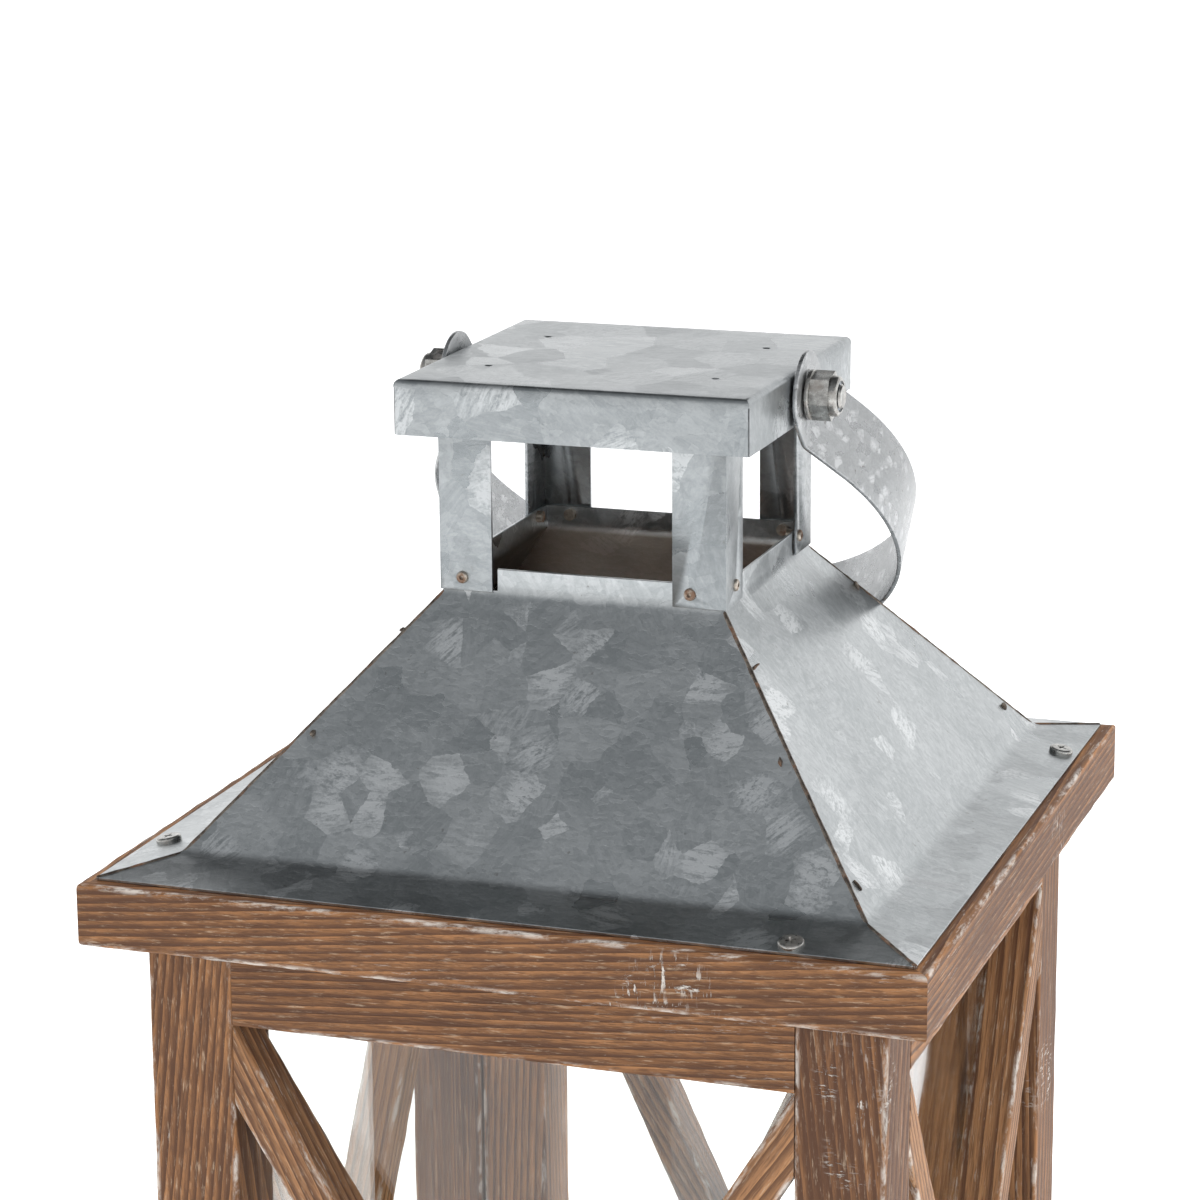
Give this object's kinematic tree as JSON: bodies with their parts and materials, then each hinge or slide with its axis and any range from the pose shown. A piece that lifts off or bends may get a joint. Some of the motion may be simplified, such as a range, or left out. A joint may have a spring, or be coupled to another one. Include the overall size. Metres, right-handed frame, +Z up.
{
  "type": "candle lantern",
  "caption": "Square wooden candle lantern with crossed braces, glass sides, a back door, a galvanised sheet roof with an open cupola, and a strap bail.",
  "frame": {"origin": "centre of the underside of the base board, with the resting bail included in the box", "axes": "+Z up, -Y the front, +X right; the door is at the back"},
  "size_m": [0.2, 0.2, 0.4239],
  "materials": {
    "frame_wood": "stained and distressed softwood",
    "brace_wood": "stained and distressed softwood",
    "clear_glass": "clear float glass",
    "galvanised_sheet": "galvanised, spangled",
    "galvanised_strap": "galvanised, weathered",
    "rivet_steel": "dull, lightly rusted",
    "zinc_hardware": "bright zinc plate",
    "hinge_steel": "antique steel",
    "catch_plastic": "brown, matt"
  },
  "bodies": {
    "lantern": {"base_board": "frame_wood", "bottom_rail_front": "frame_wood", "bottom_rail_left": "frame_wood", "bottom_rail_right": "frame_wood", "brace_front_a": "brace_wood", "brace_front_b": "brace_wood", "brace_left_a": "brace_wood", "brace_left_b": "brace_wood", "brace_right_a": "brace_wood", "brace_right_b": "brace_wood", "cap": "galvanised_sheet", "catch_screws": "zinc_hardware", "cupola_post_back_left": "galvanised_sheet", "cupola_post_back_right": "galvanised_sheet", "cupola_post_front_left": "galvanised_sheet", "cupola_post_front_right": "galvanised_sheet", "glass_front": "clear_glass", "glass_left": "clear_glass", "glass_right": "clear_glass", "hinge_pin_lower": "hinge_steel", "hinge_pin_upper": "hinge_steel", "hinge_post_leaf_lower": "hinge_steel", "hinge_post_leaf_upper": "hinge_steel", "hinge_post_screws": "hinge_steel", "lock_nuts": "zinc_hardware", "magnet_catch": "catch_plastic", "pivot_bolts": "zinc_hardware", "pivot_washers": "zinc_hardware", "post_back_left": "frame_wood", "post_back_right": "frame_wood", "post_front_left": "frame_wood", "post_front_right": "frame_wood", "rivets": "rivet_steel", "roof_frame_back": "frame_wood", "roof_frame_front": "frame_wood", "roof_frame_left": "frame_wood", "roof_frame_right": "frame_wood", "roof_panel_back": "galvanised_sheet", "roof_panel_front": "galvanised_sheet", "roof_panel_left": "galvanised_sheet", "roof_panel_right": "galvanised_sheet", "roof_screws": "zinc_hardware", "top_rail_front": "frame_wood", "top_rail_left": "frame_wood", "top_rail_right": "frame_wood"},
    "door": {"door_brace_a": "brace_wood", "door_brace_b": "brace_wood", "door_glass": "clear_glass", "door_knob": "hinge_steel", "door_rail_bottom": "frame_wood", "door_rail_top": "frame_wood", "door_stile_free": "frame_wood", "door_stile_hinge": "frame_wood", "hinge_door_leaf_lower": "hinge_steel", "hinge_door_leaf_upper": "hinge_steel", "hinge_door_screws": "hinge_steel", "knob_screw": "zinc_hardware", "strike_plate": "zinc_hardware"},
    "bail": {"bail": "galvanised_strap"}
  },
  "joints": [
    {"name": "bail_swing", "type": "hinge", "parent": "lantern", "child": "bail", "pos_m": [0, 0, 0.4134], "axis": [1, 0, 0], "range_deg": [0, 266.5]},
    {"name": "door_swing", "type": "hinge", "parent": "lantern", "child": "door", "pos_m": [-0.0671, 0.0908, 0.155], "axis": [0, 0, 1], "range_deg": [0, 160]}
  ]
}
